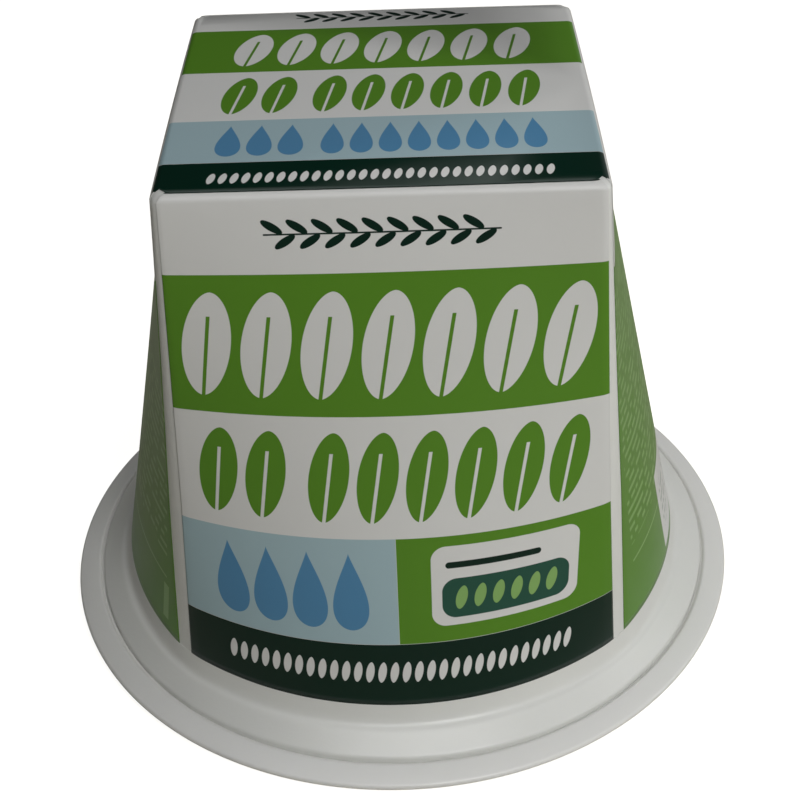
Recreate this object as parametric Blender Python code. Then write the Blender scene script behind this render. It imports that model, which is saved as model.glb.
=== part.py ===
"""Shut tub of fresh goat cheese that stands upside down on its lid.

The tub is a square pyramid without its point. Its sides bulge more and more on their way
down, and below the label they turn into a round shoulder and a round collar. The lid is a
flat saucer with a thick rim, which closes round the collar and leaves a narrow groove. A
thin printed label lies in a shallow recess of the tub: it covers the top and the four sides
and is slit along the four corners.

Metres, +Z up. The origin is on the table, under the middle. The front panel faces -Y.
"""

import math

import bmesh
import bpy
import numpy as np

MM = 0.001

# Driving dimensions of the whole pack
HEIGHT = 63.3 * MM
TOP_WIDTH = 42.2 * MM
LID_DIAMETER = 81.4 * MM

# The label's lower edge: its height, how far its corners are from the axis, and how round
# the tub is there, from 0 for a square with flat sides to 1 for a circle
LABEL_FOOT_HEIGHT = 7.9 * MM
LABEL_FOOT_CORNER = 34.5 * MM
LABEL_FOOT_ROUNDNESS = 0.904

# Roundings of the pyramid
TOP_EDGE_RADIUS = 0.9 * MM
CORNER_REACH_TOP = 1.2 * MM
CORNER_REACH_FOOT = 3.0 * MM

# The label and its recess
TOUCH_GAP = 0.3 * MM
LABEL_THICKNESS = 0.2 * MM
RECESS_DEPTH = LABEL_THICKNESS + TOUCH_GAP
SLIT_START = 0.38

# The tub below the label: shoulder and collar
WALL_FOOT_HEIGHT = 5.9 * MM
WALL_FOOT_CORNER = 35.0 * MM
WALL_FOOT_ROUNDNESS = 0.92
COLLAR_RADIUS = 37.6 * MM
COLLAR_TOP_HEIGHT = 4.1 * MM
COLLAR_EDGE_RADIUS = 0.5 * MM
COLLAR_EDGE_TURN = math.radians(60)
LEDGE_END_HEIGHT = 5.4 * MM
LEDGE_END_CORNER = 35.6 * MM
LEDGE_END_ROUNDNESS = 0.96

# The lid: a plate with a foot ring below and a thick rim, which is undercut on its outer side
# and slopes from the groove round the collar down to the lip
PLATE_THICKNESS = 0.85 * MM
FOOT_OUTER_RADIUS = 38.2 * MM
FOOT_INNER_RADIUS = 30.0 * MM
FOOT_DEPTH = 0.3 * MM
FOOT_BEVEL = 0.4 * MM
RIM_INNER_RADIUS = 37.95 * MM
RIM_INNER_HEIGHT = 3.6 * MM
RIM_INNER_BEVEL = 0.2 * MM
LIP_RADIUS = 0.45 * MM
LIP_HEIGHT = 2.6 * MM
LIP_ARC = (math.radians(77), math.radians(-60))

# How finely the surfaces are divided
SIDE_STEPS = 18
CORNER_STEPS = 4
WALL_STEPS = 8
EDGE_STEPS = 3
LABEL_CORNER_STEPS = 2
LIP_STEPS = 6
RING_STEPS = 4 * (SIDE_STEPS + CORNER_STEPS)

EIGHTH_TURN = math.pi / 4
SQUARE_SIDE = math.sqrt(0.5)
SIDES = 4
SHARP_ANGLE = math.radians(35)
MERGE_DISTANCE = 0.01 * MM


def clear_scene():
    """Remove everything that the scene holds."""
    for thing in list(bpy.data.objects):
        bpy.data.objects.remove(thing, do_unlink=True)


def make_material(name, color, roughness):
    """A Principled plastic."""
    material = bpy.data.materials.new(name)
    material.use_nodes = True
    shader = material.node_tree.nodes["Principled BSDF"]
    shader.inputs["Base Color"].default_value = (*color, 1.0)
    shader.inputs["Roughness"].default_value = roughness
    shader.inputs["Metallic"].default_value = 0.0
    return material


def add_object(name, mesh, material):
    """Put a mesh into the scene as a named object with one material."""
    thing = bpy.data.objects.new(name, mesh)
    mesh.materials.append(material)
    bpy.context.scene.collection.objects.link(thing)
    return thing


def turned(points, quarters):
    """Points in the plane, turned by so many quarter turns about the axis."""
    for _ in range(quarters % SIDES):
        points = np.stack([-points[:, 1], points[:, 0]], axis=1)
    return points


class Section:
    """The outline of the tub at one height.

    drop is 0 for the flat square at the top and 1 for the bulging one at the label's lower
    edge, inset is how far the outline lies inside the label's outer face, and corner and
    roundness belong to the bulging square.
    """

    def __init__(self, drop, inset=0.0, corner=LABEL_FOOT_CORNER, roundness=LABEL_FOOT_ROUNDNESS):
        self.drop = drop
        self.half_top = TOP_WIDTH / 2 - inset
        self.corner = corner - inset
        self.roundness = roundness
        reach = CORNER_REACH_TOP + (CORNER_REACH_FOOT - CORNER_REACH_TOP) * drop
        half_width = self.half_top + (self.corner - self.half_top) * drop
        self.side_end = 1 - reach / half_width

    def side(self, across):
        """Points of the front side, at across from -1 at one corner to 1 at the next.

        A straight line for the top square, blended by drop with a mix of a quarter circle
        and the straight side of the square that fits into it.
        """
        across = np.asarray(across, dtype=float)
        angle = EIGHTH_TURN * across
        flat = np.stack([across, -np.ones_like(across)], axis=1) * self.half_top
        arc = np.stack([np.sin(angle), -np.cos(angle)], axis=1) * self.corner
        chord = np.stack([np.tan(angle), -np.ones_like(across)], axis=1) * self.corner * SQUARE_SIDE
        foot = arc * self.roundness + chord * (1 - self.roundness)
        return flat * (1 - self.drop) + foot * self.drop

    def bend(self, share):
        """Points round the corner after the front side, at share from 0 to 1.

        A parabola from the end of one side to the start of the next, with the sharp corner
        as its control point.
        """
        share = np.asarray(share, dtype=float)[:, None]
        start, sharp = self.side([self.side_end, 1.0])
        end = turned(self.side([-self.side_end]), 1)[0]
        return start * (1 - share) ** 2 + sharp * 2 * share * (1 - share) + end * share**2

    def ring(self):
        """The whole outline, without a repeated first point."""
        side = self.side(np.linspace(-self.side_end, self.side_end, SIDE_STEPS + 1))
        bend = self.bend(np.linspace(0, 1, CORNER_STEPS + 1)[1:-1])
        quarter = np.concatenate([side, bend])
        return np.concatenate([turned(quarter, turns) for turns in range(SIDES)])

    def panel(self, turns):
        """The stretch of the outline that one panel of the label covers."""
        ends = np.linspace(0, SLIT_START, LABEL_CORNER_STEPS + 1)[1:]
        before = turned(self.bend(1 - ends[::-1]), 3)
        side = self.side(np.linspace(-self.side_end, self.side_end, SIDE_STEPS + 1))
        after = self.bend(ends)
        return turned(np.concatenate([before, side, after]), turns)


def wall_levels(foot_height, inset):
    """(height, section) of the pyramid from foot_height up to its flat top.

    The wall is straight in side view. The top edge is an arc that starts along the wall's
    slope and ends flat.
    """
    foot_middle = LABEL_FOOT_CORNER * (LABEL_FOOT_ROUNDNESS + (1 - LABEL_FOOT_ROUNDNESS) * SQUARE_SIDE)
    slope = math.atan((foot_middle - TOP_WIDTH / 2) / (HEIGHT - LABEL_FOOT_HEIGHT))
    top = HEIGHT - inset
    arc_foot = top - TOP_EDGE_RADIUS * (1 - math.sin(slope))
    levels = []
    for height in np.linspace(foot_height, arc_foot, WALL_STEPS + 1):
        drop = (HEIGHT - height) / (HEIGHT - LABEL_FOOT_HEIGHT)
        levels.append((height, Section(drop, inset)))
    drop = (HEIGHT - arc_foot) / (HEIGHT - LABEL_FOOT_HEIGHT)
    for angle in np.linspace(slope, math.pi / 2, EDGE_STEPS + 1)[1:]:
        height = top - TOP_EDGE_RADIUS * (1 - math.sin(angle))
        pulled_in = TOP_EDGE_RADIUS * (math.cos(slope) - math.cos(angle))
        levels.append((height, Section(drop, inset + pulled_in)))
    return levels


def shoulder_levels():
    """(height, section) of the tub from its underside up to the label's lower edge."""
    circle = {"drop": 1.0, "roundness": 1.0}
    underside = PLATE_THICKNESS + TOUCH_GAP
    levels = [
        (underside, Section(corner=COLLAR_RADIUS - COLLAR_EDGE_RADIUS / 2, **circle)),
        (underside + COLLAR_EDGE_RADIUS / 2, Section(corner=COLLAR_RADIUS, **circle)),
    ]
    for angle in np.linspace(0, COLLAR_EDGE_TURN, EDGE_STEPS):
        height = COLLAR_TOP_HEIGHT - COLLAR_EDGE_RADIUS * (1 - math.sin(angle))
        radius = COLLAR_RADIUS - COLLAR_EDGE_RADIUS * (1 - math.cos(angle))
        levels.append((height, Section(corner=radius, **circle)))
    levels.append((LEDGE_END_HEIGHT, Section(1.0, corner=LEDGE_END_CORNER, roundness=LEDGE_END_ROUNDNESS)))
    levels.append((WALL_FOOT_HEIGHT, Section(1.0, corner=WALL_FOOT_CORNER, roundness=WALL_FOOT_ROUNDNESS)))
    levels.append((LABEL_FOOT_HEIGHT - TOUCH_GAP, Section(1.0)))
    return levels


def skin(mesh_builder, rows, closed):
    """Quads between each row of vertices and the next. A closed row joins its ends."""
    for lower, upper in zip(rows, rows[1:]):
        count = len(lower)
        for i in range(count if closed else count - 1):
            j = (i + 1) % count
            mesh_builder.faces.new((lower[i], lower[j], upper[j], upper[i]))


def add_row(mesh_builder, points, height):
    """Vertices at one height."""
    return [mesh_builder.verts.new((x, y, height)) for x, y in points]


def finish_mesh(mesh_builder, name):
    """Turn a bmesh into a smooth-shaded mesh with sharp edges where it really bends."""
    bmesh.ops.recalc_face_normals(mesh_builder, faces=mesh_builder.faces)
    mesh = bpy.data.meshes.new(name)
    mesh_builder.to_mesh(mesh)
    mesh_builder.free()
    mesh.shade_smooth()
    mesh.set_sharp_from_angle(angle=SHARP_ANGLE)
    return mesh


def build_tub(material):
    """The shut tub, with the recess for the label, as one solid."""
    levels = shoulder_levels() + wall_levels(LABEL_FOOT_HEIGHT - TOUCH_GAP, RECESS_DEPTH)
    builder = bmesh.new()
    rows = [add_row(builder, section.ring(), height) for height, section in levels]
    skin(builder, rows, closed=True)
    builder.faces.new(rows[0][::-1])
    builder.faces.new(rows[-1])
    return add_object("tub", finish_mesh(builder, "tub"), material)


def build_label(material):
    """The label: one thin film over the top and the four sides, slit at the corners."""
    builder = bmesh.new()
    skins = []
    for inset in (0.0, LABEL_THICKNESS):
        levels = wall_levels(LABEL_FOOT_HEIGHT, inset)
        panels = []
        for turns in range(SIDES):
            rows = [add_row(builder, section.panel(turns), height) for height, section in levels]
            skin(builder, rows, closed=False)
            panels.append(rows)
        builder.faces.new([vertex for rows in panels for vertex in rows[-1]])
        skins.append(panels)
    for turns in range(SIDES):
        outer, inner = skins[0][turns], skins[1][turns]
        skin(builder, [outer[0], inner[0]], closed=False)
        for end in (0, -1):
            skin(builder, [[row[end] for row in outer], [row[end] for row in inner]], closed=False)
        after = (turns + 1) % SIDES
        slit_end = (outer[-1][-1], skins[0][after][-1][0], skins[1][after][-1][0], inner[-1][-1])
        builder.faces.new(slit_end)
    return add_object("label", finish_mesh(builder, "label"), material)


def lid_profile():
    """Half of the lid's cross-section as (radius, height), from the top down its outer side.

    It runs over the plate, up the groove beside the collar, over the rim, round the lip,
    back under the rim to the foot ring and over the sunk panel inside the ring.
    """
    lip_middle = LID_DIAMETER / 2 - LIP_RADIUS
    points = [
        (0.0, PLATE_THICKNESS),
        (RIM_INNER_RADIUS, PLATE_THICKNESS),
        (RIM_INNER_RADIUS, RIM_INNER_HEIGHT - RIM_INNER_BEVEL),
        (RIM_INNER_RADIUS + RIM_INNER_BEVEL, RIM_INNER_HEIGHT),
    ]
    for angle in np.linspace(*LIP_ARC, LIP_STEPS + 1):
        radius = lip_middle + LIP_RADIUS * math.cos(angle)
        points.append((radius, LIP_HEIGHT + LIP_RADIUS * math.sin(angle)))
    points.append((FOOT_OUTER_RADIUS, 0.0))
    points.append((FOOT_INNER_RADIUS, 0.0))
    points.append((FOOT_INNER_RADIUS - FOOT_BEVEL, FOOT_DEPTH))
    points.append((0.0, FOOT_DEPTH))
    return points


def build_lid(material):
    """The lid, turned about the axis from its cross-section."""
    builder = bmesh.new()
    corners = [builder.verts.new((radius, 0.0, height)) for radius, height in lid_profile()]
    for first, second in zip(corners, corners[1:]):
        builder.edges.new((first, second))
    mesh = bpy.data.meshes.new("lid")
    builder.to_mesh(mesh)
    builder.free()
    lid = add_object("lid", mesh, material)
    turn = lid.modifiers.new("turn", "SCREW")
    turn.axis = "Z"
    turn.angle = 2 * math.pi
    turn.screw_offset = 0.0
    turn.steps = RING_STEPS
    turn.render_steps = RING_STEPS
    turn.use_merge_vertices = True
    turn.merge_threshold = MERGE_DISTANCE
    turn.use_smooth_shade = True
    return lid


def main():
    """Build the pack."""
    clear_scene()
    white = make_material("tub_plastic", (0.80, 0.81, 0.79), 0.35)
    lid_white = make_material("lid_plastic", (0.76, 0.77, 0.74), 0.4)
    print_green = make_material("label_film", (0.16, 0.36, 0.05), 0.3)
    build_tub(white)
    build_label(print_green)
    build_lid(lid_white)


main()
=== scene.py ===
"""Looks of a shut tub of fresh goat cheese that stands upside down on its lid.

The tub, its printed film and the lid are surfaces worked out with numpy from a few sizes.
The film is five thin panels: the top, which wraps over its left and right edges, and the
four sides. Their print is fields of colour and plain leaf, drop and bar shapes, drawn by
nodes from each panel's own attribute, which holds millimetres along the film.
"""

import logging
import math
from dataclasses import dataclass
from enum import Enum

import bpy
import numpy as np
from mathutils import Matrix, Vector

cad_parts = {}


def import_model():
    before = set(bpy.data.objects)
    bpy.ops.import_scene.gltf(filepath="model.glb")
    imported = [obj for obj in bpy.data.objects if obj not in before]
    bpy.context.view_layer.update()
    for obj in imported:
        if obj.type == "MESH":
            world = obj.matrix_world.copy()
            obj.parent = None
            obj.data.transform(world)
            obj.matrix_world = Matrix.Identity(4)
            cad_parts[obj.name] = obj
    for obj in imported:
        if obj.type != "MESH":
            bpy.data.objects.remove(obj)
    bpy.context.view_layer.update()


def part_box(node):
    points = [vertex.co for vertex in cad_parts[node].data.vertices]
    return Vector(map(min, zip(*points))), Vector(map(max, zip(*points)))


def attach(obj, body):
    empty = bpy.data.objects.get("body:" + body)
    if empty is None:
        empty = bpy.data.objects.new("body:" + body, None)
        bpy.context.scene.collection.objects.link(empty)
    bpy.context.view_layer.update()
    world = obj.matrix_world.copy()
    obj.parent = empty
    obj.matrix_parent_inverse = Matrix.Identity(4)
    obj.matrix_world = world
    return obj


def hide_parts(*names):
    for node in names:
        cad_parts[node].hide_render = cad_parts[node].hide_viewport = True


MM = 0.001
SIDES = 4
EIGHTH_TURN = math.pi / 4
SQUARE_SIDE = math.sqrt(0.5)
SHEET = "sheet"

# Softness of the edge of a printed shape and of a field, in millimetres
PRINT_EDGE = 0.05
FIELD_EDGE = 0.04

# Shape of the printed tiles: powers of the outlines' formulas, a factor that brings a drop's
# widest part to the tile's width, a leaf's usual lean, and how much a full lean narrows a tile
LEAF_POWER = 0.55
DROP_POWER = 0.75
DROP_WIDTH = 1.42
LEAF_LEAN = 0.35
LEAN_NARROWS = 0.25

# A rib runs from past a leaf's foot to near its tip: places below and above the leaf's middle,
# in half heights
RIB_FOOT = 1.5
RIB_TIP = 0.55

# A sprig: half its stem's width, its leaves' lean, and the gap between them as a share of a step
STEM_HALF = 0.11
SPRIG_LEAN = 0.9
SPRIG_GAP = 0.26

# Largest radius of a bar's round corners, in millimetres
BAR_ROUNDING = 1.6

# Half of a bend's length as a share of its reach: round a right angle, and on the full bulge
SQUARE_BEND = 0.81
BULGED_BEND = 1.0

# The green of the left and right panels, in millimetres down
SIDE_GREEN = (9.0, 60.0)

# How far down, as a share of the side, the slits reach their full width
SLIT_FULL = 0.65

# Mean of the square of the place across a panel, which keeps the sagging bands where they are
MEAN_SQUARE = 0.33

log = logging.getLogger("goat_cheese_tub")


class Ink(Enum):
    """Colours of the print, as linear red, green and blue."""

    WHITE = (0.72, 0.72, 0.70)
    GREEN = (0.096, 0.250, 0.017)
    PALE_GREEN = (0.24, 0.43, 0.13)
    SKY = (0.370, 0.505, 0.545)
    BLUE = (0.085, 0.247, 0.430)
    FOREST = (0.0005, 0.018, 0.010)
    PINE = (0.019, 0.083, 0.055)
    GREY = (0.36, 0.40, 0.36)


class Tile(Enum):
    """Outlines of the printed shapes."""

    LEAF = "pointed at both ends"
    DROP = "pointed above, round below"


@dataclass(frozen=True)
class Levels:
    """Rows of the tub's surface, from the lowest to the highest.

    Each field is an array with one value for each row. drop is 0 for the flat-sided square
    at the top and 1 for the bulging one at the film's lower edge.
    """

    height: np.ndarray
    drop: np.ndarray
    inset: np.ndarray
    corner: np.ndarray
    roundness: np.ndarray

    def joined(self, other: "Levels") -> "Levels":
        """These rows with another set of rows above them.

        Args:
            other: The rows that follow.

        Returns:
            One set with all rows.
        """
        fields = ("height", "drop", "inset", "corner", "roundness")
        return Levels(*(np.concatenate([getattr(self, key), getattr(other, key)]) for key in fields))


@dataclass(frozen=True)
class TubForm:
    """Sizes of the tub, in metres, and the formula of its outer surface.

    half_top is half the flat top's width. foot_corner is how far the corners are from the
    axis at the film's lower edge, and foot_roundness how round the plan is there, from 0 for
    a square to 1 for a circle. edge_radius rounds the top's edge. reach_top and reach_foot
    are how far from the sharp corner a bend starts, at the top and at the lower edge.
    """

    height: float
    half_top: float = 21.1 * MM
    foot_height: float = 7.9 * MM
    foot_corner: float = 34.5 * MM
    foot_roundness: float = 0.904
    edge_radius: float = 0.9 * MM
    reach_top: float = 1.2 * MM
    reach_foot: float = 3.0 * MM
    edge_steps: int = 8

    def slope(self) -> float:
        """Angle of a side's middle line to the upright, in radians."""
        middle = self.foot_corner * (self.foot_roundness + (1 - self.foot_roundness) * SQUARE_SIDE)
        return math.atan((middle - self.half_top) / (self.height - self.foot_height))

    def wall(self, inset: float, steps: int) -> Levels:
        """Rows of the pyramid from the film's lower edge up to the flat top.

        The wall is straight in side view. Above it the edge is an arc of edge_radius that
        starts along the wall's slope and ends flat: its height is the top less
        radius * (1 - sin angle), and it is pulled in by radius * (cos slope - cos angle).

        Args:
            inset: How far the surface lies inside the film's outer face.
            steps: Rows of the wall, without those of the arc.

        Returns:
            The rows, lowest first.
        """
        slope, top = self.slope(), self.height - inset
        arc_foot = top - self.edge_radius * (1 - math.sin(slope))
        angle = np.linspace(slope, math.pi / 2, self.edge_steps + 1)[1:]
        heights = np.linspace(self.foot_height, arc_foot, steps + 1)
        drops = (self.height - heights) / (self.height - self.foot_height)
        pulled_in = self.edge_radius * (math.cos(slope) - np.cos(angle))
        height = np.concatenate([heights, top - self.edge_radius * (1 - np.sin(angle))])
        drop = np.concatenate([drops, np.full(self.edge_steps, drops[-1])])
        insets = np.concatenate([np.full(steps + 1, inset), inset + pulled_in])
        same = np.ones_like(height)
        return Levels(height, drop, insets, same * self.foot_corner, same * self.foot_roundness)

    def reach(self, levels: Levels) -> np.ndarray:
        """How far from the sharp corner the bend starts, in each row."""
        return self.reach_top + (self.reach_foot - self.reach_top) * levels.drop

    def side_end(self, levels: Levels) -> np.ndarray:
        """Where the bend round the corner starts in each row, as a share of the half side."""
        half_top, corner = self.half_top - levels.inset, levels.corner - levels.inset
        return 1 - self.reach(levels) / (half_top + (corner - half_top) * levels.drop)

    def half_bend(self, levels: Levels) -> np.ndarray:
        """Length of surface from a bend's start to the corner's middle, in each row."""
        return self.reach(levels) * (SQUARE_BEND + (BULGED_BEND - SQUARE_BEND) * levels.drop)

    def side(self, across: np.ndarray, levels: Levels) -> np.ndarray:
        """Plan of the front side, with a sharp corner at across -1 and 1.

        The straight side of the top square, times (1 - drop), plus drop times a mix of a
        quarter circle and the straight side of the square that fits into it.

        Args:
            across: Rows by columns of places from -1 to 1.
            levels: One row's values for each row of across.

        Returns:
            x and y in the last axis.
        """
        half_top = (self.half_top - levels.inset)[:, None]
        corner = (levels.corner - levels.inset)[:, None]
        drop, roundness = levels.drop[:, None], levels.roundness[:, None]
        angle = EIGHTH_TURN * across
        foot_x = corner * (np.sin(angle) * roundness + np.tan(angle) * SQUARE_SIDE * (1 - roundness))
        foot_y = -corner * (np.cos(angle) * roundness + SQUARE_SIDE * (1 - roundness))
        x = half_top * across * (1 - drop) + foot_x * drop
        y = -half_top * (1 - drop) + foot_y * drop
        return np.stack([x, y], axis=-1)

    def plan(self, station: np.ndarray, levels: Levels) -> np.ndarray:
        """Plan of the front side with its rounded corners.

        Between the bends it is side(). Beyond them it is a parabola whose control point is
        the sharp corner and whose far end is the next side's start: half of it belongs to
        this side, so station -1 and 1 are the middles of the corners.

        Args:
            station: Rows by columns of places from -1 to 1.
            levels: One row's values for each row of station.

        Returns:
            x and y in the last axis.
        """
        end = self.side_end(levels)[:, None]
        sign = np.where(station < 0, -1.0, 1.0)
        share = np.clip((np.abs(station) - end) / (1 - end), 0, 1)[..., None] / 2
        start = self.side(np.clip(station, -end, end), levels)
        sharp = self.side(sign, levels)
        other = self.side(-sign * end, levels)
        far = np.stack([-other[..., 1], other[..., 0]], axis=-1) * sign[..., None]
        return start * (1 - share) ** 2 + sharp * 2 * share * (1 - share) + far * share**2

    def surface(self, station: np.ndarray, levels: Levels, turns: int) -> np.ndarray:
        """Points of one side: plan() turned by quarter turns, with each row's height.

        Args:
            station: Rows by columns of places from -1 to 1.
            levels: One row's values for each row of station.
            turns: Quarter turns from the front.

        Returns:
            x, y and z in the last axis.
        """
        plan = self.plan(station, levels)
        for _ in range(turns % SIDES):
            plan = np.stack([-plan[..., 1], plan[..., 0]], axis=-1)
        height = np.broadcast_to(levels.height[:, None], plan.shape[:2])
        return np.concatenate([plan, height[..., None]], axis=-1)


def quads(index: np.ndarray) -> list[tuple[int, ...]]:
    """The quads between neighbours in a grid of vertex indices, each from its lower left corner."""
    corners = (index[:-1, :-1], index[:-1, 1:], index[1:, 1:], index[1:, :-1])
    return [tuple(quad) for quad in np.stack(corners, axis=-1).reshape(-1, 4).tolist()]


def grid_faces(rows: int, columns: int, wrap: bool) -> list[tuple[int, ...]]:
    """Quads of a grid of vertices, row by row, that face outwards where rows go up.

    Args:
        rows: Number of rows.
        columns: Number of columns.
        wrap: Whether the last column joins the first.

    Returns:
        Vertex indices of each quad.
    """
    index = np.arange(rows * columns).reshape(rows, columns)
    if wrap:
        index = np.concatenate([index, index[:, :1]], axis=1)
    return quads(index)


def make_piece(name: str, points: np.ndarray, faces: list[tuple[int, ...]]) -> bpy.types.Object:
    """A smooth-shaded mesh object at the origin.

    Args:
        name: The object's name.
        points: Vertices, x, y and z in the last axis.
        faces: Vertex indices of each face.

    Returns:
        The object, linked into the scene.
    """
    mesh = bpy.data.meshes.new(name)
    mesh.from_pydata(points.reshape(-1, 3).tolist(), [], faces)
    mesh.validate()
    mesh.shade_smooth()
    piece = bpy.data.objects.new(name, mesh)
    bpy.context.scene.collection.objects.link(piece)
    return piece


def closed_shell(name: str, rings: np.ndarray) -> bpy.types.Object:
    """A closed body from rings of points, lowest first, with a middle point at both ends.

    Args:
        name: The object's name.
        rings: Rings by points by x, y and z.

    Returns:
        The object.
    """
    count, around = rings.shape[:2]
    this = np.arange(around)
    after = (this + 1) % around
    middle, last = count * around, (count - 1) * around
    foot = np.stack([np.full(around, middle), after, this], axis=-1)
    head = np.stack([np.full(around, middle + 1), last + this, last + after], axis=-1)
    caps = [tuple(face) for face in np.concatenate([foot, head]).tolist()]
    faces = grid_faces(count, around, wrap=True) + caps
    middles = np.stack([rings[0].mean(axis=0), rings[-1].mean(axis=0)])
    return make_piece(name, np.concatenate([rings.reshape(-1, 3), middles]), faces)


@dataclass(frozen=True)
class Grain:
    """A noise over a surface: repeats for each metre, and octaves."""

    scale: float
    detail: float


class NodeSheet:
    """Builds a material's nodes with short calls."""

    def __init__(self, name: str) -> None:
        """Start a material with a Principled shader.

        Args:
            name: The material's name.
        """
        self.material = bpy.data.materials.new(name)
        self.material.use_nodes = True
        self.tree = self.material.node_tree
        self.shader = self.tree.nodes["Principled BSDF"]

    def feed(self, socket: bpy.types.NodeSocket, value: object) -> None:
        """Link a socket to another, or give it a value.

        Args:
            socket: The socket that is fed.
            value: Another socket, or a plain value.
        """
        if isinstance(value, bpy.types.NodeSocket):
            self.tree.links.new(value, socket)
        else:
            socket.default_value = value

    def settle(self, values: dict[str, object]) -> None:
        """Set shader sockets, by name, to plain values."""
        for socket, value in values.items():
            self.shader.inputs[socket].default_value = value

    def math(self, operation: str, *values: object) -> bpy.types.NodeSocket:
        """A Math node's result.

        Args:
            operation: The node's operation.
            values: A socket or a number for each of its inputs.

        Returns:
            The result.
        """
        node = self.tree.nodes.new("ShaderNodeMath")
        node.operation = operation
        for socket, value in zip(node.inputs, values):
            self.feed(socket, value)
        return node.outputs[0]

    def clamp(self, value: object) -> bpy.types.NodeSocket:
        """A value kept between 0 and 1.

        Args:
            value: A socket or a number.

        Returns:
            The clamped value.
        """
        node = self.tree.nodes.new("ShaderNodeClamp")
        self.feed(node.inputs[0], value)
        return node.outputs[0]

    def mix(self, share: object, first: object, second: object) -> bpy.types.NodeSocket:
        """A mix of two colours.

        Args:
            share: 0 for the first, 1 for the second.
            first: A colour or a socket.
            second: A colour or a socket.

        Returns:
            The mixed colour.
        """
        node = self.tree.nodes.new("ShaderNodeMix")
        node.data_type = "RGBA"
        self.feed(node.inputs[0], share)
        for socket, value in ((node.inputs[6], first), (node.inputs[7], second)):
            colour = (*value.value, 1.0) if isinstance(value, Ink) else value
            self.feed(socket, colour)
        return node.outputs[2]

    def place(self, attribute: str = "") -> bpy.types.NodeSocket:
        """A vector that changes over the surface.

        Args:
            attribute: The piece's own attribute to read, or nothing for the place on the
                object in metres.

        Returns:
            The vector.
        """
        if attribute:
            node = self.tree.nodes.new("ShaderNodeAttribute")
            node.attribute_name = attribute
            return node.outputs["Vector"]
        return self.tree.nodes.new("ShaderNodeTexCoord").outputs["Object"]

    def noise(self, grain: Grain) -> bpy.types.NodeSocket:
        """Noise on the object's own place.

        Args:
            grain: Its scale and octaves.

        Returns:
            A value about 0.5.
        """
        node = self.tree.nodes.new("ShaderNodeTexNoise")
        self.feed(node.inputs["Vector"], self.place())
        node.inputs["Scale"].default_value = grain.scale
        node.inputs["Detail"].default_value = grain.detail
        return node.outputs["Fac"]

    def bump(self, height: bpy.types.NodeSocket, strength: float, distance: float) -> None:
        """Feed the shader's normal with a bump.

        Args:
            height: The relief, from 0 to 1.
            strength: Share of the effect.
            distance: Depth of the relief in metres.
        """
        node = self.tree.nodes.new("ShaderNodeBump")
        node.inputs["Strength"].default_value = strength
        node.inputs["Distance"].default_value = distance
        self.feed(node.inputs["Height"], height)
        self.feed(self.shader.inputs["Normal"], node.outputs[0])


@dataclass(frozen=True)
class Wear:
    """Faint unevenness of a finish: clouds of tone, fine grain and rubbed spots.

    rub_reach is how far the spots move the roughness in all, relief is the share of the
    clouds and of the grain in the bump, and strength and depth are the bump's own.
    """

    clouds: Grain
    fine: Grain
    rubbed: Grain
    rub_reach: float
    relief: tuple[float, float]
    strength: float
    depth: float

    def spread(self, sheet: NodeSheet, roughness: float) -> bpy.types.NodeSocket:
        """Feed a shader's roughness and normal.

        The roughness is its mean, less half of rub_reach, plus rub_reach times the spots.

        Args:
            sheet: The material's nodes.
            roughness: Its mean roughness.

        Returns:
            The clouds, for the tone.
        """
        clouds, fine, rubbed = (sheet.noise(grain) for grain in (self.clouds, self.fine, self.rubbed))
        rough = sheet.math("MULTIPLY_ADD", rubbed, self.rub_reach, roughness - self.rub_reach / 2)
        sheet.feed(sheet.shader.inputs["Roughness"], rough)
        grain = sheet.math("MULTIPLY", fine, self.relief[1])
        sheet.bump(sheet.math("MULTIPLY_ADD", clouds, self.relief[0], grain), self.strength, self.depth)
        return clouds


PLASTIC_WEAR = Wear(
    clouds=Grain(38.0, 3.0),
    fine=Grain(2600.0, 2.0),
    rubbed=Grain(210.0, 4.0),
    rub_reach=0.16,
    relief=(0.7, 0.3),
    strength=0.25,
    depth=0.12 * MM,
)
FILM_WEAR = Wear(
    clouds=Grain(55.0, 3.0),
    fine=Grain(3400.0, 2.0),
    rubbed=Grain(260.0, 4.0),
    rub_reach=0.10,
    relief=(0.8, 0.2),
    strength=0.12,
    depth=0.1 * MM,
)


@dataclass(frozen=True)
class MouldedPlastic:
    """White injection-moulded plastic: faint clouds of tone, fine mould grain and rubbed spots."""

    name: str
    colour: tuple[float, float, float]
    shade: tuple[float, float, float]
    roughness: float

    def material(self) -> bpy.types.Material:
        """The plastic as a material.

        Returns:
            The material.
        """
        sheet = NodeSheet(self.name)
        clouds = PLASTIC_WEAR.spread(sheet, self.roughness)
        tone = sheet.mix(clouds, (*self.colour, 1.0), (*self.shade, 1.0))
        sheet.feed(sheet.shader.inputs["Base Color"], tone)
        sheet.settle({"IOR": 1.49, "Subsurface Weight": 0.12, "Subsurface Scale": 0.6})
        sheet.settle({"Subsurface Radius": (4.0 * MM, 4.0 * MM, 3.5 * MM)})
        return sheet.material


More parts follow.
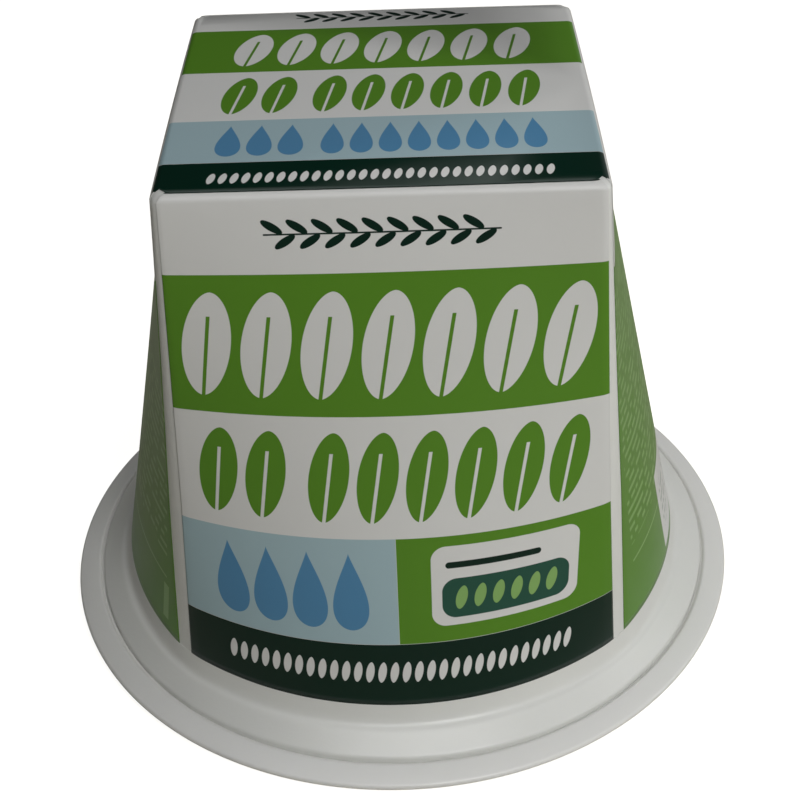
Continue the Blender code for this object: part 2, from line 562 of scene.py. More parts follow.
@dataclass(frozen=True)
class SatinFilm:
    """Printed satin film: a mean roughness, and the tone's lowest value and its reach."""

    roughness: float = 0.30
    tone: tuple[float, float] = (0.975, 0.05)

    def finish(self, sheet: NodeSheet, colour: object) -> bpy.types.Material:
        """Finish a material whose colour is the print.

        Args:
            sheet: The material's nodes.
            colour: The print's colour.

        Returns:
            The material.
        """
        clouds = FILM_WEAR.spread(sheet, self.roughness)
        tone = sheet.tree.nodes.new("ShaderNodeHueSaturation")
        sheet.feed(tone.inputs["Value"], sheet.math("MULTIPLY_ADD", clouds, self.tone[1], self.tone[0]))
        sheet.feed(tone.inputs["Color"], colour)
        sheet.feed(sheet.shader.inputs["Base Color"], tone.outputs[0])
        sheet.settle({"IOR": 1.47, "Specular IOR Level": 0.25})
        return sheet.material


@dataclass(frozen=True)
class Dashes:
    """How lines of small print are broken into dashes.

    stripe is the printed share of a line's pitch and fade the softness of its edges, along is
    the noise's repeats for each millimetre and apart its shift from one line to the next,
    level is where the noise is cut and steep how sharply, and cover how strong the ink is.
    """

    stripe: tuple[float, float] = (0.22, 0.74)
    fade: float = 0.12
    along: float = 0.9
    apart: float = 7.3
    level: float = 0.43
    steep: float = 22.0
    cover: float = 0.85


class Print:
    """Draws inks over each other on one panel, in millimetres along the film.

    across runs to the right from the panel's middle line and down runs from its top edge,
    or from the back edge on the top panel.
    """

    def __init__(self, name: str) -> None:
        """Start with bare white film.

        Args:
            name: The material's name.
        """
        self.sheet = NodeSheet(name)
        parts = self.sheet.tree.nodes.new("ShaderNodeSeparateXYZ")
        self.sheet.feed(parts.inputs[0], self.sheet.place(SHEET))
        self.across, self.down = parts.outputs[0], parts.outputs[1]
        self.colour: object = (*Ink.WHITE.value, 1.0)

    def inside(
        self, value: bpy.types.NodeSocket, low: float, high: float, soft: float = FIELD_EDGE
    ) -> bpy.types.NodeSocket:
        """1 where a value is between two bounds.

        It is half the range less the distance from its middle, over soft, kept from 0 to 1.

        Args:
            value: The value.
            low: Lower bound.
            high: Upper bound.
            soft: Width of the edges, in the value's own unit.

        Returns:
            The mask.
        """
        middle, half = (low + high) / 2, (high - low) / 2
        off = self.sheet.math("ABSOLUTE", self.sheet.math("SUBTRACT", value, middle))
        return self.sheet.clamp(self.sheet.math("DIVIDE", self.sheet.math("SUBTRACT", half, off), soft))

    def lay(self, mask: object, ink: Ink) -> None:
        """Put an ink over what is there, where the mask is 1."""
        self.colour = self.sheet.mix(mask, self.colour, ink)

    def field(self, ink: Ink, down: tuple[float, float], across: tuple[float, float] | None = None) -> None:
        """A plain field of colour.

        Args:
            ink: Its colour.
            down: Its upper and lower edge.
            across: Its left and right edge, or the whole width.
        """
        mask = self.inside(self.down, *down)
        if across:
            mask = self.sheet.math("MULTIPLY", mask, self.inside(self.across, *across))
        self.lay(mask, ink)

    def bar(
        self, middle: tuple[float, float], half: tuple[float, float], rounding: float
    ) -> bpy.types.NodeSocket:
        """1 inside a bar with round corners, from its distance field.

        The distance is the length of (|place| - half + r) where positive, plus its largest
        part where negative, less r.

        Args:
            middle: The bar's middle, across and down.
            half: Half its width and height.
            rounding: Radius r of its corners.

        Returns:
            The mask.
        """
        sheet = self.sheet
        off_x = sheet.math("ABSOLUTE", sheet.math("SUBTRACT", self.across, middle[0]))
        off_y = sheet.math("ABSOLUTE", sheet.math("SUBTRACT", self.down, middle[1]))
        off_x = sheet.math("SUBTRACT", off_x, half[0] - rounding)
        off_y = sheet.math("SUBTRACT", off_y, half[1] - rounding)
        out_x, out_y = sheet.math("MAXIMUM", off_x, 0.0), sheet.math("MAXIMUM", off_y, 0.0)
        squares = sheet.math("MULTIPLY_ADD", out_x, out_x, sheet.math("MULTIPLY", out_y, out_y))
        within = sheet.math("MINIMUM", sheet.math("MAXIMUM", off_x, off_y), 0.0)
        reach = sheet.math("ADD", sheet.math("SQRT", squares), within)
        return sheet.clamp(sheet.math("DIVIDE", sheet.math("SUBTRACT", rounding, reach), PRINT_EDGE))

    def tile(self, tile: Tile, x: object, y: object, half: tuple[float, float]) -> bpy.types.NodeSocket:
        """1 inside an upright tile, whose half width depends on the height v from -1 to 1.

        A leaf's is (1 - v * v) to LEAF_POWER. A drop's is the square root of that bracket,
        times ((1 + v) / 2) to DROP_POWER, times DROP_WIDTH.

        Args:
            tile: The outline.
            x: Place to the right of the tile's middle.
            y: Place below it.
            half: Half its width and height.

        Returns:
            The mask.
        """
        sheet = self.sheet
        v = sheet.math("DIVIDE", y, half[1])
        bracket = sheet.math("MAXIMUM", sheet.math("SUBTRACT", 1.0, sheet.math("MULTIPLY", v, v)), 0.0)
        if tile is Tile.LEAF:
            width = sheet.math("POWER", bracket, LEAF_POWER)
        else:
            low = sheet.math("MAXIMUM", sheet.math("MULTIPLY_ADD", v, 0.5, 0.5), 0.0)
            low = sheet.math("MULTIPLY", sheet.math("POWER", low, DROP_POWER), DROP_WIDTH)
            width = sheet.math("MULTIPLY", sheet.math("SQRT", bracket), low)
        width = sheet.math("MULTIPLY", width, half[0])
        room = sheet.math("SUBTRACT", width, sheet.math("ABSOLUTE", x))
        return sheet.clamp(sheet.math("DIVIDE", room, PRINT_EDGE))

    def row(
        self,
        ink: Ink,
        tile: Tile,
        across: tuple[float, float],
        down: tuple[float, float],
        count: int,
        gap: float,
        lean: float = 0.0,
        rib: float = 0.0,
    ) -> None:
        """A row of equal tiles.

        Args:
            ink: Their colour.
            tile: Their outline.
            across: Left and right end of the row.
            down: Its upper and lower edge.
            count: How many tiles.
            gap: Space between two tiles.
            lean: How far the tip is to the right of the foot, as a share of the width.
            rib: Width of the line left free from the foot almost to the tip.
        """
        sheet = self.sheet
        pitch = (across[1] - across[0] + gap) / count
        half = ((pitch - gap) / 2, (down[1] - down[0]) / 2)
        run = sheet.math("DIVIDE", sheet.math("SUBTRACT", self.across, across[0] - gap / 2), pitch)
        x = sheet.math("MULTIPLY", sheet.math("SUBTRACT", sheet.math("FRACT", run), 0.5), pitch)
        y = sheet.math("SUBTRACT", self.down, (down[0] + down[1]) / 2)
        if lean:
            x = sheet.math("MULTIPLY_ADD", y, lean * half[0] / half[1], x)
            half = (half[0] * (1 - LEAN_NARROWS * abs(lean)), half[1])
        mask = self.tile(tile, x, y, half)
        if rib:
            line = self.inside(x, -rib / 2, rib / 2)
            line = sheet.math("MULTIPLY", line, self.inside(y, -half[1] * RIB_TIP, half[1] * RIB_FOOT))
            mask = sheet.math("MULTIPLY", mask, sheet.math("SUBTRACT", 1.0, line))
        ends = self.inside(run, 0.0, float(count), soft=0.01)
        self.lay(sheet.math("MULTIPLY", mask, ends), ink)

    def leaves(
        self,
        ink: Ink,
        across: tuple[float, float],
        down: tuple[float, float],
        count: int,
        gap: float,
        rib: float = 0.0,
    ) -> None:
        """A row of leaves with the print's usual lean. The rest is as in row()."""
        self.row(ink, Tile.LEAF, across, down, count, gap, lean=LEAF_LEAN, rib=rib)

    def sprig(self, ink: Ink, half: float, middle: float, height: float, pairs: int) -> None:
        """A stem that lies along the film, with small leaves above and below it.

        Args:
            ink: Its colour.
            half: Half its length.
            middle: The stem's place, down.
            height: Height of the whole sprig.
            pairs: Number of leaves on each side of the stem.
        """
        step = 2 * half / (pairs + 0.5)
        gap, room = SPRIG_GAP * step, height / 2
        self.badge(ink, (0.0, middle), (half, STEM_HALF))
        upper = (-half, half - 0.5 * step - gap)
        lower = (-half + 0.5 * step, half - gap)
        self.row(ink, Tile.LEAF, upper, (middle - room, middle), pairs, gap, lean=-SPRIG_LEAN)
        self.row(ink, Tile.LEAF, lower, (middle, middle + room), pairs, gap, lean=SPRIG_LEAN)

    def badge(self, ink: Ink, middle: tuple[float, float], half: tuple[float, float]) -> None:
        """One bar with round corners.

        Args:
            ink: Its colour.
            middle: Its middle, across and down.
            half: Half its width and height.
        """
        self.lay(self.bar(middle, half, min(*half, BAR_ROUNDING)), ink)

    def small_print(
        self, ink: Ink, across: tuple[float, float], down: tuple[float, float], pitch: float
    ) -> None:
        """Fine broken lines, one below the other.

        Each line is a stripe of the film. A noise along it, cut at a level, breaks it into
        dashes, and each line reads the noise at another place.

        Args:
            ink: Their colour.
            across: Left and right end.
            down: Upper and lower end.
            pitch: Distance from one line to the next.
        """
        sheet, dashes = self.sheet, Dashes()
        run = sheet.math("DIVIDE", self.down, pitch)
        number = sheet.math("FLOOR", run)
        stripe = self.inside(sheet.math("SUBTRACT", run, number), *dashes.stripe, soft=dashes.fade)
        combine = sheet.tree.nodes.new("ShaderNodeCombineXYZ")
        sheet.feed(combine.inputs[0], sheet.math("MULTIPLY", self.across, dashes.along))
        sheet.feed(combine.inputs[1], sheet.math("MULTIPLY", number, dashes.apart))
        noise = sheet.tree.nodes.new("ShaderNodeTexNoise")
        sheet.feed(noise.inputs["Vector"], combine.outputs[0])
        noise.inputs["Scale"].default_value = 1.0
        noise.inputs["Detail"].default_value = 0.0
        above = sheet.math("SUBTRACT", noise.outputs["Fac"], dashes.level)
        broken = sheet.clamp(sheet.math("MULTIPLY", above, dashes.steep))
        block = sheet.math("MULTIPLY", self.inside(self.across, *across), self.inside(self.down, *down))
        mask = sheet.math("MULTIPLY", sheet.math("MULTIPLY", stripe, broken), block)
        self.lay(sheet.math("MULTIPLY", mask, dashes.cover), ink)

    def finished(self) -> bpy.types.Material:
        """The panel's material: satin film under all that was printed on it."""
        return SatinFilm().finish(self.sheet, self.colour)


@dataclass
class Tub:
    """The shut white tub: pyramid, wall, shoulder and collar in one body."""

    form: TubForm
    floor_gap: float = 0.87 * MM
    recess: float = 0.05 * MM
    wall_foot_height: float = 5.9 * MM
    wall_foot_corner: float = 35.0 * MM
    wall_foot_roundness: float = 0.92
    ledge_height: float = 5.35 * MM
    ledge_corner: float = 35.7 * MM
    collar_radius: float = 37.6 * MM
    collar_top: float = 4.1 * MM
    collar_edge: float = 0.55 * MM
    collar_turn: float = 62.0
    ledge_roundness: float = 0.95
    shoulder_knots: tuple[float, ...] = (0.0, 0.55, 0.78, 1.0)
    collar_rows: int = 9
    shoulder_rows: int = 21
    wall_rows: int = 60
    columns: int = 44
    bend_columns: int = 7
    sharp_angle: float = 38.0

    def base_rows(self) -> Levels:
        """Rows from the underside up to the film's lower edge.

        The collar is upright. Its lower edge is rounded off by three rows, whose rise and
        pull-in are shares of collar_edge, and its upper edge is an arc of that radius. The
        ledge and the wall run on a smooth curve through the knots that follow, while the
        roundness goes over from the circle to the bulging square.

        Returns:
            The rows, lowest first.
        """
        arc = np.linspace(0, math.radians(self.collar_turn), self.collar_rows)
        collar_height = self.collar_top - self.collar_edge * (1 - np.sin(arc))
        collar_radius = self.collar_radius - self.collar_edge * (1 - np.cos(arc))
        foot_height = self.floor_gap + self.collar_edge * np.array([0.0, 0.15, 0.6])
        foot_radius = self.collar_radius - self.collar_edge * np.array([0.7, 0.2, 0.0])
        knots = np.array(self.shoulder_knots)
        knot_height = (collar_height[-1], self.ledge_height, self.wall_foot_height, self.form.foot_height)
        knot_corner = (collar_radius[-1], self.ledge_corner, self.wall_foot_corner, self.form.foot_corner)
        knot_round = (1.0, self.ledge_roundness, self.wall_foot_roundness, self.form.foot_roundness)
        along = np.linspace(0, 1, self.shoulder_rows + 1)[1:]
        height = smooth_through(along, knots, np.array(knot_height))
        corner = smooth_through(along, knots, np.array(knot_corner))
        roundness = np.interp(along, knots, knot_round)
        heights = np.concatenate([foot_height, collar_height, height])
        corners = np.concatenate([foot_radius, collar_radius, corner])
        rounds = np.concatenate([np.ones(len(foot_height) + len(arc)), roundness])
        return Levels(heights, np.ones_like(heights), np.zeros_like(heights), corners, rounds)

    def build(self) -> bpy.types.Object:
        """The tub as one closed body.

        Returns:
            The piece.
        """
        levels = self.base_rows().joined(self.form.wall(self.recess, self.wall_rows))
        plain = np.linspace(-1, 1, self.columns)
        end = self.form.side_end(levels)[:, None]
        bend = np.linspace(0, 1, self.bend_columns + 2)[1:-1]
        right = end + (1 - end) * bend
        station = np.concatenate([-right[:, ::-1], plain * end, right, np.ones_like(end)], axis=1)
        sides = [self.form.surface(station, levels, turns) for turns in range(SIDES)]
        piece = closed_shell("tub_body", np.concatenate(sides, axis=1))
        mark_sharp(piece, self.sharp_angle)
        plastic = MouldedPlastic("tub_plastic", (0.79, 0.795, 0.76), (0.76, 0.765, 0.73), 0.36)
        dress(piece, plastic.material(), "tub")
        return piece


@dataclass
class Film:
    """The printed film: five panels that wrap the tub, slit along the four corners.

    A slit is given by the distance of a panel's edge from the corner's middle, at the top and
    from SLIT_FULL of the way down. broad_slits are the left and the right one of the front
    and of the back. print_reach is how far behind the axis the top's print starts, and sag is
    the bow of the sides' bands as a share of the side.
    """

    form: TubForm
    thickness: float = 0.035 * MM
    broad_slits: tuple[tuple[float, float], ...] = ((0.50 * MM, 1.0 * MM), (0.20 * MM, 0.7 * MM))
    side_slit: tuple[float, float] = (0.55 * MM, 1.8 * MM)
    print_reach: float = 20.8 * MM
    sag: float = 0.012
    wall_rows: int = 72
    columns: int = 64
    bend_columns: int = 7

    def bend_stations(self, levels: Levels, slit: tuple[float, float]) -> np.ndarray:
        """Places across on a bend in each row, from its start out to the slit's edge.

        Args:
            levels: The rows.
            slit: Distance of the edge from the corner's middle, at the top and further down.

        Returns:
            Rows by columns, up to 1.
        """
        end = self.form.side_end(levels)[:, None]
        width = np.interp(levels.drop, (0.0, SLIT_FULL), slit)[:, None]
        limit = end + (1 - end) * (1 - width / self.form.half_bend(levels)[:, None])
        return end + (limit - end) * np.linspace(0, 1, self.bend_columns + 1)[1:]

    def stations(self, levels: Levels, turns: int) -> np.ndarray:
        """Places across a panel in each row, out to the slits' edges.

        Args:
            levels: The rows.
            turns: Quarter turns from the front. The front and the back are the broad panels.

        Returns:
            Rows by columns from about -1 to 1.
        """
        left, right = (self.side_slit, self.side_slit) if turns % 2 else self.broad_slits
        plain = np.linspace(-1, 1, self.columns + 1) * self.form.side_end(levels)[:, None]
        before = -self.bend_stations(levels, left)[:, ::-1]
        return np.concatenate([before, plain, self.bend_stations(levels, right)], axis=1)

    def film_places(self, points: np.ndarray, levels: Levels, station: np.ndarray) -> np.ndarray:
        """Millimetres along the film at each point of a side panel.

        across is the length of surface from the middle line. down is the length along the
        middle line from where the wall and the flat top would meet without a rounded edge,
        less the print's own sag: the square of the station less its mean, times a bow that is
        0 at the panel's head and foot and largest at mid height.

        Args:
            points: Rows by columns of points, lowest row first.
            levels: The rows.
            station: Places across in each row.

        Returns:
            across, down and 0 in the last axis.
        """
        steps = np.linalg.norm(np.diff(points, axis=1), axis=-1)
        run = np.concatenate([np.zeros((len(points), 1)), np.cumsum(steps, axis=1)], axis=1)
        across = run - run[:, [points.shape[1] // 2]]
        middle = points[:, points.shape[1] // 2]
        rise = np.linalg.norm(np.diff(middle, axis=0), axis=-1)
        from_foot = np.concatenate([[0.0], np.cumsum(rise)])
        slant = (self.form.height - self.form.foot_height) / math.cos(self.form.slope())
        share = (1 - from_foot / slant)[:, None]
        share = share - self.sag * 4 * share * (1 - share) * (station**2 - MEAN_SQUARE)
        return np.stack([across / MM, share * slant / MM, np.zeros_like(across)], axis=-1)

    def side_panel(self, name: str, turns: int, with_edge: bool) -> bpy.types.Object:
        """One side's panel.

        Args:
            name: The piece's name.
            turns: Quarter turns from the front.
            with_edge: Whether it runs up over the rounded edge to the flat top.

        Returns:
            The piece, with the film's own attribute.
        """
        levels = self.form.wall(0.0, self.wall_rows)
        station = self.stations(levels, turns)
        points = self.form.surface(station, levels, turns)
        places = self.film_places(points, levels, station)
        if not with_edge:
            points, places = points[: -self.form.edge_steps], places[: -self.form.edge_steps]
        rows, columns = points.shape[:2]
        piece = make_piece(name, points, grid_faces(rows, columns, wrap=False))
        self.store(piece, places)
        self.thicken(piece)
        return piece

    def top_panel(self, name: str) -> bpy.types.Object:
        """The flat top with the rounded left and right edges.

        The flat part is one face whose outline is the last row of all four sides. The two
        edges are grids that share that row's points.

        Args:
            name: The piece's name.

        Returns:
            The piece, with the film's own attribute.
        """
        levels = self.form.wall(0.0, 1)
        grids = [self.form.surface(self.stations(levels, turns), levels, turns) for turns in range(SIDES)]
        sides = [grid[-self.form.edge_steps - 1 :] for grid in grids]
        rows, columns = sides[0].shape[:2]
        outline = np.concatenate([side[-1] for side in sides])
        points, faces = [outline], [tuple(range(len(outline)))]
        start = len(outline)
        for turns in (1, 3):
            lower = sides[turns][:-1].reshape(-1, 3)
            below = np.arange(start, start + len(lower)).reshape(rows - 1, columns)
            shared = np.arange(turns * columns, (turns + 1) * columns)[None]
            faces += quads(np.concatenate([below, shared]))
            points.append(lower)
            start += len(lower)
        points = np.concatenate(points)
        piece = make_piece(name, points, faces)
        places = np.stack([points[:, 0], self.print_reach - points[:, 1], 0 * points[:, 0]], axis=-1) / MM
        self.store(piece, places)
        self.thicken(piece)
        return piece

    def store(self, piece: bpy.types.Object, places: np.ndarray) -> None:
        """Give a piece the attribute that its print reads."""
        attribute = piece.data.attributes.new(SHEET, "FLOAT_VECTOR", "POINT")
        attribute.data.foreach_set("vector", places.reshape(-1).astype(np.float32))

    def thicken(self, piece: bpy.types.Object) -> None:
        """Give a panel its thickness, inwards from the outer face.

        Args:
            piece: The panel.
        """
        wall = piece.modifiers.new("thickness", "SOLIDIFY")
        wall.thickness = self.thickness
        wall.offset = -1.0
        wall.use_even_offset = True

    def front_print(self, name: str, head: Ink) -> bpy.types.Material:
        """The front's and the back's print: five bands with rows of leaves, drops and bars.

        Args:
            name: The material's name.
            head: Ink of the narrow strip next to the flat top.

        Returns:
            The material.
        """
        ink = Print(name)
        upper, lower, leaves = (7.8, 22.7), (36.4, 49.1), (24.4, 34.6)
        ink.field(head, down=(-3.0, -0.3))
        ink.field(Ink.GREEN, down=upper)
        ink.field(Ink.SKY, down=lower, across=(-40.0, 0.0))
        ink.field(Ink.GREEN, down=lower, across=(0.0, 40.0))
        ink.field(Ink.FOREST, down=(lower[1], 60.0))
        ink.sprig(Ink.FOREST, half=11.0, middle=3.9, height=2.9, pairs=9)
        ink.leaves(Ink.WHITE, (-20.2, 20.4), (9.6, 20.8), count=7, gap=0.45, rib=0.42)
        ink.leaves(Ink.GREEN, (-20.3, -10.6), leaves, count=2, gap=0.4, rib=0.4)
        ink.leaves(Ink.GREEN, (-8.7, 20.5), leaves, count=6, gap=0.4, rib=0.4)
        ink.row(Ink.BLUE, Tile.DROP, (-20.0, -3.0), (38.0, 47.4), count=4, gap=0.5)
        ink.badge(Ink.WHITE, middle=(11.7, 42.4), half=(8.2, 4.8))
        ink.badge(Ink.FOREST, middle=(10.2, 39.9), half=(5.2, 0.4))
        ink.badge(Ink.PINE, middle=(11.7, 43.9), half=(7.1, 2.4))
        ink.leaves(Ink.PALE_GREEN, (6.0, 17.4), (42.5, 45.3), count=6, gap=0.6)
        ink.leaves(Ink.WHITE, (-19.5, 19.5), (51.3, 53.9), count=30, gap=0.28)
        return ink.finished()

    def right_print(self, name: str) -> bpy.types.Material:
        """The right side's print: green with fine lines and a long white box.

        Args:
            name: The material's name.

        Returns:
            The material.
        """
        ink = Print(name)
        ink.field(Ink.GREEN, down=SIDE_GREEN)
        ink.small_print(Ink.PALE_GREEN, across=(-21.5, 22.0), down=(11.5, 46.0), pitch=1.3)
        ink.field(Ink.PALE_GREEN, down=(48.3, 48.6), across=(-21.5, -10.5))
        ink.field(Ink.WHITE, down=(44.6, 55.9), across=(-10.8, 21.0))
        ink.small_print(Ink.GREY, across=(-9.3, 19.5), down=(47.0, 53.8), pitch=1.4)
        return ink.finished()

    def left_print(self, name: str) -> bpy.types.Material:
        """The left side's print: green with fine lines and, near the front, a small light block.

        Args:
            name: The material's name.

        Returns:
            The material.
        """
        ink = Print(name)
        ink.field(Ink.GREEN, down=SIDE_GREEN)
        ink.small_print(Ink.PALE_GREEN, across=(-22.0, 22.0), down=(22.0, 45.0), pitch=1.3)
        ink.field(Ink.PALE_GREEN, down=(48.2, 48.5), across=(-22.0, 22.0))
        ink.field(Ink.PALE_GREEN, down=(49.5, 55.0), across=(21.3, 22.6))
        return ink.finished()

    def top_print(self, name: str) -> bpy.types.Material:
        """The top's print: the front's bands again, at a smaller scale.

        The bands end short of the left and right edges, and a little earlier at the front.

        Args:
            name: The material's name.

        Returns:
            The material.
        """
        ink = Print(name)
        sky, leaves, drops = (26.9, 35.6), (17.2, 25.5), (28.0, 34.4)
        ink.field(Ink.GREEN, down=(5.0, 15.8))
        ink.field(Ink.SKY, down=sky)
        ink.field(Ink.FOREST, down=(sky[1], 50.0))
        ink.sprig(Ink.FOREST, half=9.6, middle=2.1, height=2.3, pairs=9)
        ink.leaves(Ink.WHITE, (-15.8, 16.0), (6.3, 14.3), count=7, gap=0.4, rib=0.34)
        ink.leaves(Ink.GREEN, (-16.2, -8.5), leaves, count=2, gap=0.4, rib=0.32)
        ink.leaves(Ink.GREEN, (-7.0, 16.2), leaves, count=6, gap=0.4, rib=0.32)
        ink.row(Ink.BLUE, Tile.DROP, (-15.9, -7.4), drops, count=3, gap=0.5)
        ink.row(Ink.BLUE, Tile.DROP, (-5.8, 15.9), drops, count=8, gap=0.5)
        ink.leaves(Ink.WHITE, (-16.1, 16.1), (37.7, 39.7), count=30, gap=0.22)
        for end, down in ((20.85, (-3.0, 50.0)), (20.6, (40.6, 50.0))):
            ink.field(Ink.WHITE, down=down, across=(-30.0, -end))
            ink.field(Ink.WHITE, down=down, across=(end, 30.0))
        return ink.finished()

    def build(self) -> list[bpy.types.Object]:
        """All five panels.

        Returns:
            The pieces.
        """
        top = self.top_panel("film_top")
        dress(top, self.top_print("print_top"), "label")
        pieces = [top]
        plan = (
            ("film_front", self.front_print("print_front", Ink.FOREST), True),
            ("film_right", self.right_print("print_right"), False),
            ("film_back", self.front_print("print_back", Ink.WHITE), True),
            ("film_left", self.left_print("print_left"), False),
        )
        for turns, (name, material, with_edge) in enumerate(plan):
            panel = self.side_panel(name, turns, with_edge)
            dress(panel, material, "label")
            pieces.append(panel)
        return pieces


@dataclass
class Lid:
    """The flat lid, whose thick rim closes round the tub's collar and leaves a groove."""

    radius: float
    plate: float = 0.85 * MM
    rim_start: float = 37.95 * MM
    rim_height: float = 3.6 * MM
    collar: float = 37.6 * MM
    lip_radius: float = 0.45 * MM
    lip_height: float = 2.6 * MM
    foot_outer: float = 38.2 * MM
    foot_inner: float = 30.0 * MM
    panel_depth: float = 0.3 * MM
    hub: float = 0.4 * MM
    lip_arc: tuple[float, float] = (-55.0, 77.0)
    lip_steps: int = 11
    around: int = 256
    sharp_angle: float = 50.0

    def profile(self) -> np.ndarray:
        """Radius and height of the cross-section, from the underside's middle outwards and back.

        under runs over the sunk panel and the rounded foot ring, the lip is an arc, and above
        runs down the rim's rounded inner edge, through the groove beside the collar and over
        the plate, which the tub covers.

        Returns:
            Points by radius and height.
        """
        lip = np.radians(np.linspace(*self.lip_arc, self.lip_steps + 1))
        across = self.radius - self.lip_radius + self.lip_radius * np.cos(lip)
        lip_points = np.stack([across, self.lip_height + self.lip_radius * np.sin(lip)], axis=-1)
        start, head = self.rim_start, self.rim_height
        under = [
            (self.hub, self.panel_depth),
            (self.foot_inner - 0.6 * MM, self.panel_depth),
            (self.foot_inner - 0.35 * MM, self.panel_depth - 0.06 * MM),
            (self.foot_inner - 0.1 * MM, 0.05 * MM),
            (self.foot_inner + 0.15 * MM, 0.0),
            (self.foot_outer - 0.45 * MM, 0.0),
            (self.foot_outer - 0.05 * MM, 0.06 * MM),
            (self.foot_outer + 0.28 * MM, 0.27 * MM),
        ]
        above = [
            (start + 0.42 * MM, head - 0.04 * MM),
            (start + 0.18 * MM, head - 0.03 * MM),
            (start + 0.05 * MM, head - 0.12 * MM),
            (start, head - 0.3 * MM),
            (start - 0.06 * MM, head - 0.42 * MM),
            (start - 0.16 * MM, head - 0.46 * MM),
            (self.collar + 0.03 * MM, head - 0.46 * MM),
            (self.collar + 0.03 * MM, self.plate + 0.1 * MM),
            (self.collar - 0.2 * MM, self.plate),
            (self.collar - 4.0 * MM, self.plate),
            (self.hub, self.plate),
        ]
        return np.concatenate([np.array(under), lip_points, np.array(above)])

    def build(self) -> bpy.types.Object:
        """The lid, its profile turned about the axis: x = r cos a, y = r sin a.

        Returns:
            The piece.
        """
        profile = self.profile()
        angle = np.linspace(0, 2 * math.pi, self.around, endpoint=False)
        radius, height = profile[:, 0][:, None], profile[:, 1][:, None]
        rings = np.stack([radius * np.cos(angle), radius * np.sin(angle), height + 0 * angle], axis=-1)
        piece = closed_shell("lid_saucer", rings)
        mark_sharp(piece, self.sharp_angle)
        plastic = MouldedPlastic("lid_plastic", (0.85, 0.845, 0.82), (0.82, 0.815, 0.79), 0.38)
        dress(piece, plastic.material(), "lid")
        return piece


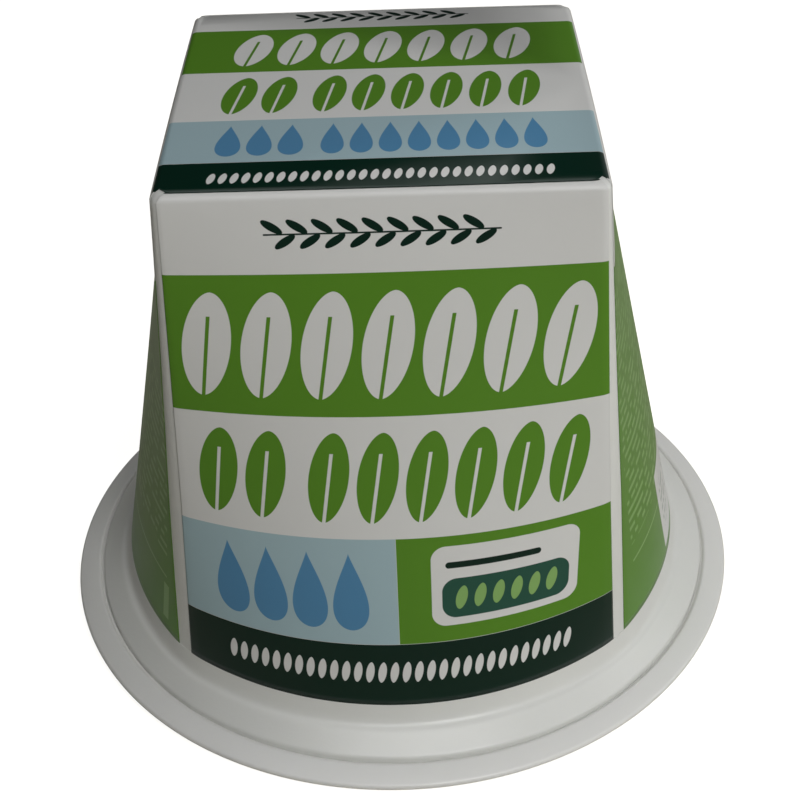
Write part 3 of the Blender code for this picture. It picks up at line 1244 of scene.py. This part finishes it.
@dataclass
class Studio:
    """Pale floor, soft lights and the camera."""

    camera_place: tuple[float, float, float] = (3.4 * MM, -139.1 * MM, 127.7 * MM)
    camera_target: tuple[float, float, float] = (3.4 * MM, 0.0, 11.6 * MM)
    camera_roll: float = -0.0304
    focal_length: float = 65.66
    sensor: float = 36.0
    shift: tuple[float, float] = (-0.0337, 0.0989)
    clip_start: float = 10.0 * MM
    floor_half: float = 3.0
    floor_sink: float = 0.05 * MM

    def camera(self) -> None:
        """Place the camera as the photograph's was, with its shift and its slight roll."""
        data = bpy.data.cameras.new("camera")
        data.sensor_width, data.lens = self.sensor, self.focal_length
        data.shift_x, data.shift_y = self.shift
        data.clip_start = self.clip_start
        camera = bpy.data.objects.new("camera", data)
        bpy.context.scene.collection.objects.link(camera)
        ahead = (Vector(self.camera_target) - Vector(self.camera_place)).normalized()
        turn = ahead.to_track_quat("-Z", "Y").to_matrix().to_4x4()
        roll = Matrix.Rotation(self.camera_roll, 4, "Z")
        camera.matrix_world = Matrix.Translation(self.camera_place) @ turn @ roll
        bpy.context.scene.camera = camera

    def lamp(
        self, name: str, azimuth: float, elevation: float, distance: float, size: float, power: float
    ) -> bpy.types.Object:
        """A square soft light that looks at the pack.

        Args:
            name: Its name.
            azimuth: Degrees from the right-hand side, positive towards the back.
            elevation: Degrees above the floor.
            distance: Metres from the pack.
            size: Length of its side.
            power: In watts.

        Returns:
            The lamp.
        """
        turn, rise = math.radians(azimuth), math.radians(elevation)
        way = Vector((math.cos(turn) * math.cos(rise), math.sin(turn) * math.cos(rise), math.sin(rise)))
        place = Vector(self.camera_target) + way * distance
        data = bpy.data.lights.new(name, "AREA")
        data.shape, data.size, data.energy = "SQUARE", size, power
        lamp = bpy.data.objects.new(name, data)
        bpy.context.scene.collection.objects.link(lamp)
        lamp.matrix_world = Matrix.Translation(place) @ way.to_track_quat("Z", "Y").to_matrix().to_4x4()
        lamp.visible_camera = False
        return lamp

    def room(self) -> None:
        """The dim room around: dark, and lighter towards the right, where a wall is lit."""
        world = bpy.data.worlds.new("room")
        world.use_nodes = True
        tree = world.node_tree
        place = tree.nodes.new("ShaderNodeTexCoord")
        parts = tree.nodes.new("ShaderNodeSeparateXYZ")
        ramp = tree.nodes.new("ShaderNodeMapRange")
        ramp.interpolation_type = "SMOOTHSTEP"
        for socket, value in (("From Min", 0.1), ("From Max", 0.6), ("To Min", 0.02), ("To Max", 0.38)):
            ramp.inputs[socket].default_value = value
        background = tree.nodes["Background"]
        background.inputs["Color"].default_value = (0.98, 0.99, 1.0, 1.0)
        tree.links.new(place.outputs["Generated"], parts.inputs[0])
        tree.links.new(parts.outputs["X"], ramp.inputs["Value"])
        tree.links.new(ramp.outputs["Result"], background.inputs["Strength"])
        bpy.context.scene.world = world

    def floor(self) -> None:
        """A wide pale floor, almost white to the camera, which hardly lights the pack."""
        corners = self.floor_half * np.array([(-1, -1, 0), (1, -1, 0), (1, 1, 0), (-1, 1, 0)])
        piece = make_piece("floor", corners - np.array([0, 0, self.floor_sink]), [(0, 1, 2, 3)])
        sheet = NodeSheet("floor_paper")
        sheet.settle({"Base Color": (0.55, 0.52, 0.44, 1.0), "Roughness": 0.9})
        sheet.settle({"Emission Color": (1.0, 1.0, 0.99, 1.0), "Specular IOR Level": 0.0})
        seen = sheet.tree.nodes.new("ShaderNodeLightPath").outputs["Is Camera Ray"]
        sheet.feed(sheet.shader.inputs["Emission Strength"], sheet.math("MULTIPLY_ADD", seen, 0.90, 0.01))
        piece.data.materials.append(sheet.material)

    def build(self) -> None:
        """Set up the whole studio."""
        scene = bpy.context.scene
        scene.view_settings.view_transform = "Standard"
        self.room()
        self.floor()
        self.lamp("window", azimuth=-70, elevation=41, distance=0.34, size=0.08, power=0.335)
        self.lamp("side_window", azimuth=-4, elevation=32, distance=0.30, size=0.16, power=0.13)
        self.lamp("ceiling", azimuth=-160, elevation=80, distance=0.60, size=0.30, power=0.38)
        sheen = self.lamp("sheen", azimuth=-90, elevation=60, distance=0.50, size=0.30, power=0.9)
        sheen.visible_diffuse = False
        for lamp in (
            self.lamp("low_front", azimuth=-70, elevation=1, distance=0.09, size=0.10, power=0.0052),
            self.lamp("fill", azimuth=80, elevation=25, distance=0.70, size=0.50, power=0.5),
        ):
            lamp.visible_glossy = False
        self.camera()


def smooth_through(at: np.ndarray, knots: np.ndarray, values: np.ndarray) -> np.ndarray:
    """A curve through knots by cubic pieces whose slope at a knot is the mean of its sides'.

    Args:
        at: Places to read.
        knots: Rising places of the knots.
        values: Values at the knots.

    Returns:
        The values at the places.
    """
    slopes = np.gradient(values, knots)
    piece = np.clip(np.searchsorted(knots, at, side="right") - 1, 0, len(knots) - 2)
    width = knots[piece + 1] - knots[piece]
    u = (at - knots[piece]) / width
    start = values[piece] * (2 * u**3 - 3 * u**2 + 1) + slopes[piece] * width * (u**3 - 2 * u**2 + u)
    end = values[piece + 1] * (3 * u**2 - 2 * u**3) + slopes[piece + 1] * width * (u**3 - u**2)
    return start + end


def mark_sharp(piece: bpy.types.Object, degrees: float) -> None:
    """Shade edges sharp where faces meet at more than an angle."""
    piece.data.set_sharp_from_angle(angle=math.radians(degrees))


def dress(piece: bpy.types.Object, material: bpy.types.Material, node: str) -> None:
    """Give a piece its material and say what it stands for.

    Args:
        piece: The piece.
        material: Its material.
        node: The solid that it replaces.
    """
    piece.data.materials.append(material)
    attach(piece, "root")
    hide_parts(node)
    log.info("%s: %d faces, stands for %s", piece.name, len(piece.data.polygons), node)


def main() -> None:
    logging.basicConfig(level=logging.INFO, format="%(message)s")
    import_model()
    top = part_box("label")[1][2]
    lid_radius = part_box("lid")[1][0]
    form = TubForm(height=top)
    Tub(form).build()
    Film(form).build()
    Lid(radius=lid_radius).build()
    Studio().build()


if __name__ == "__main__":
    main()
